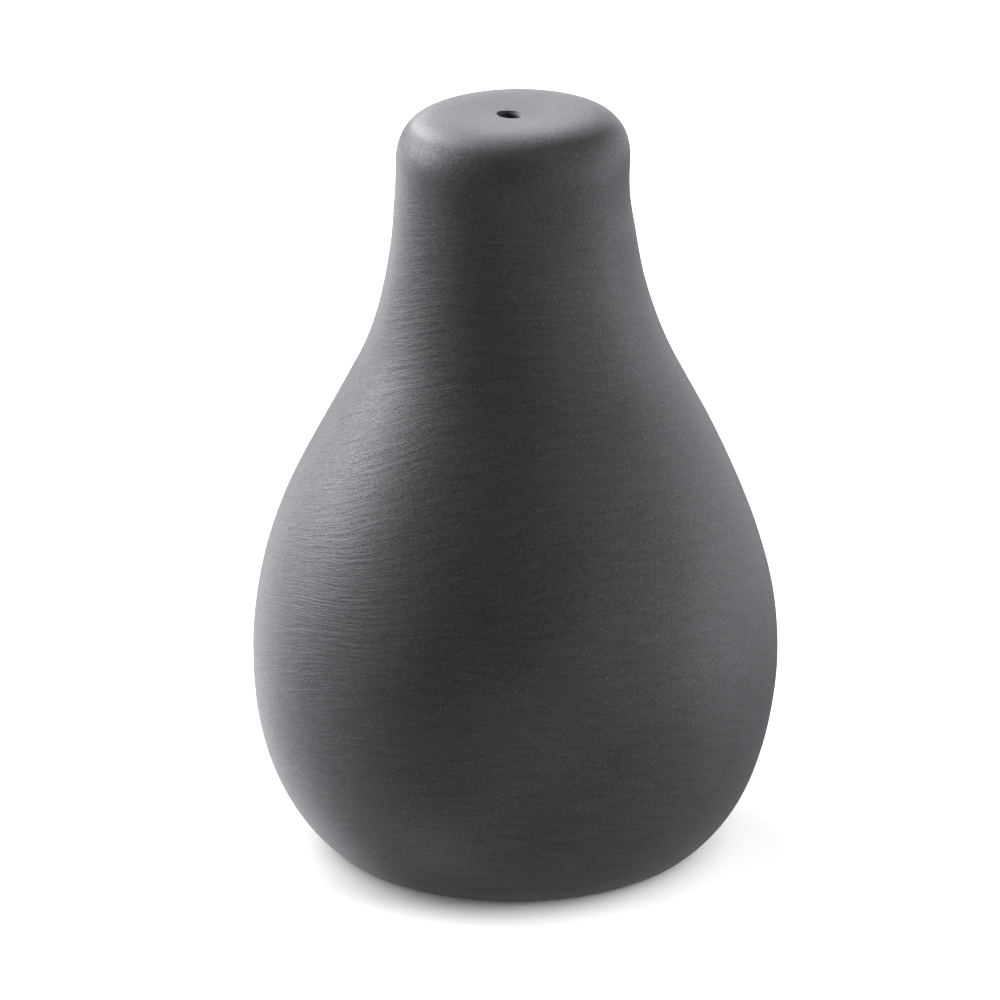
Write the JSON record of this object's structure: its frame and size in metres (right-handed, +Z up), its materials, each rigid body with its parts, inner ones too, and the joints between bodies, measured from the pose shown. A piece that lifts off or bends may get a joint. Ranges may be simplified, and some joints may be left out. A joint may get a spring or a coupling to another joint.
{
  "type": "pepper shaker",
  "caption": "Pear-shaped unglazed ceramic pepper shaker with a dished crown, a pour hole and a pull-out silicone bung in its recessed base.",
  "frame": {"origin": "centre of the foot ring, on the surface that the shaker stands on", "axes": "+Z up along the pear's axis, -Y towards the viewer of the picture, +X to the viewer's right"},
  "size_m": [0.056, 0.056, 0.08],
  "materials": {
    "unglazed_ceramic": "matte slate-black, unglazed, with fine sponged turning lines",
    "silicone": "milky translucent, satin"
  },
  "bodies": {
    "shaker": {"shaker_body": "unglazed_ceramic"},
    "stopper": {"base_stopper": "silicone"}
  },
  "joints": [
    {"name": "stopper_pull", "type": "slide", "parent": "shaker", "child": "stopper", "axis": [0, 0, -1], "range_m": [0, 0.02]}
  ]
}
